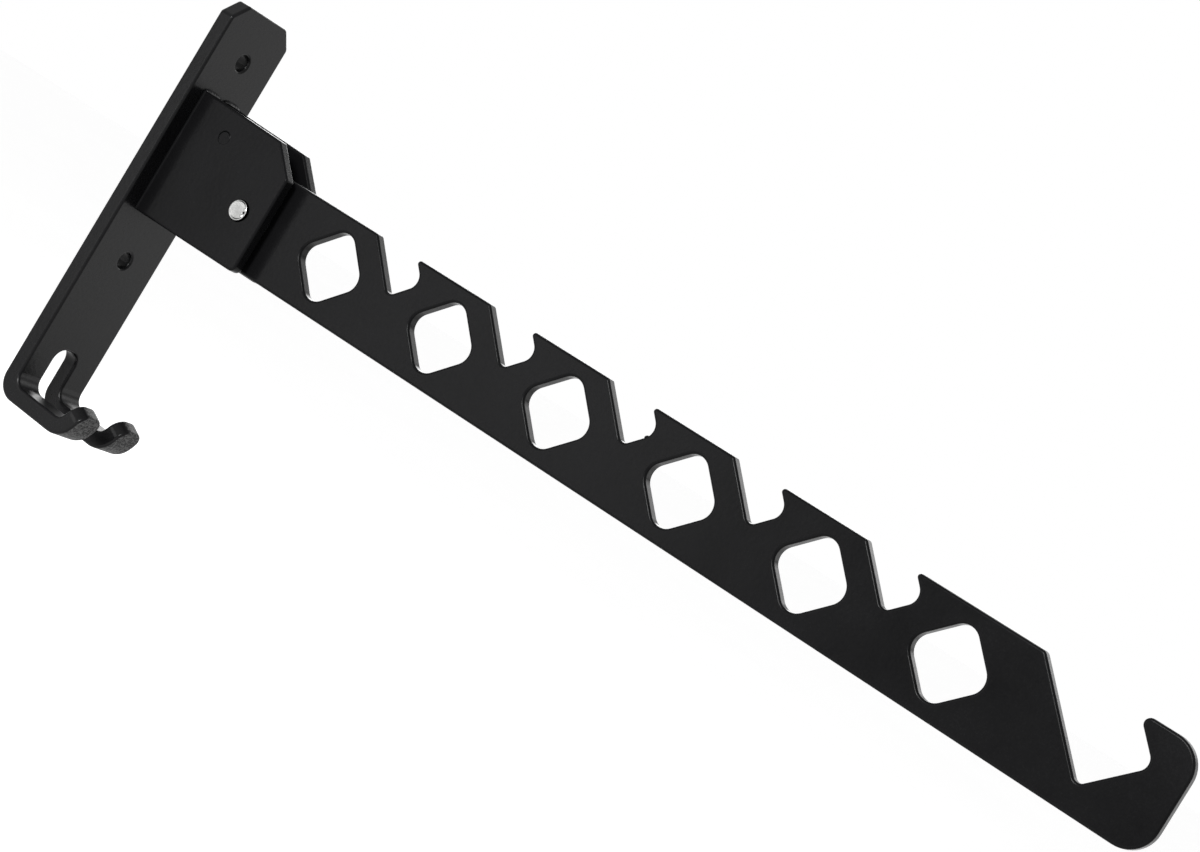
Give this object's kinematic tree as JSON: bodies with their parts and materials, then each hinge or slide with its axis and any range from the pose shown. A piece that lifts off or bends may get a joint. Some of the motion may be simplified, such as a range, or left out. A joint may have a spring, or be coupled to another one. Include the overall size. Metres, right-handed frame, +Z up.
{
  "type": "folding wall clothing rack",
  "caption": "Wall plate with welded ears and a riveted flat arm that folds up beside the wall; notches and an end hook carry hangers, and the plate's foot is a forked hook.",
  "frame": {"origin": "centre of the wall plate's back face, half way between its two screw holes", "axes": "+X along the rivet, +Y into the wall, so the arm reaches along -Y, +Z up"},
  "size_m": [0.03, 0.3448, 0.1323],
  "materials": {
    "plate_coat": "semi-gloss black powder coat with a fine texture",
    "ear_coat": "semi-gloss black powder coat with a fine texture",
    "weld_coat": "semi-gloss black powder coat with a fine texture",
    "pin_coat": "semi-gloss black powder coat with a fine texture",
    "arm_coat": "semi-gloss black powder coat with a fine texture",
    "rivet_steel": "bare bright steel, dressed smooth",
    "spacer_nylon": "black nylon, matte"
  },
  "bodies": {
    "wall_bracket": {"wall_plate": "plate_coat", "left_ear": "ear_coat", "right_ear": "ear_coat", "left_weld": "weld_coat", "right_weld": "weld_coat", "left_spacer": "spacer_nylon", "right_spacer": "spacer_nylon", "pivot_rivet": "rivet_steel", "stop_pin": "pin_coat"},
    "swing_arm": {"swing_arm": "arm_coat"}
  },
  "joints": [
    {"name": "arm_fold", "type": "hinge", "parent": "wall_bracket", "child": "swing_arm", "pos_m": [0, -0.0367, -0.0026], "axis": [-1, 0, 0], "range_deg": [0, 90.5]}
  ]
}
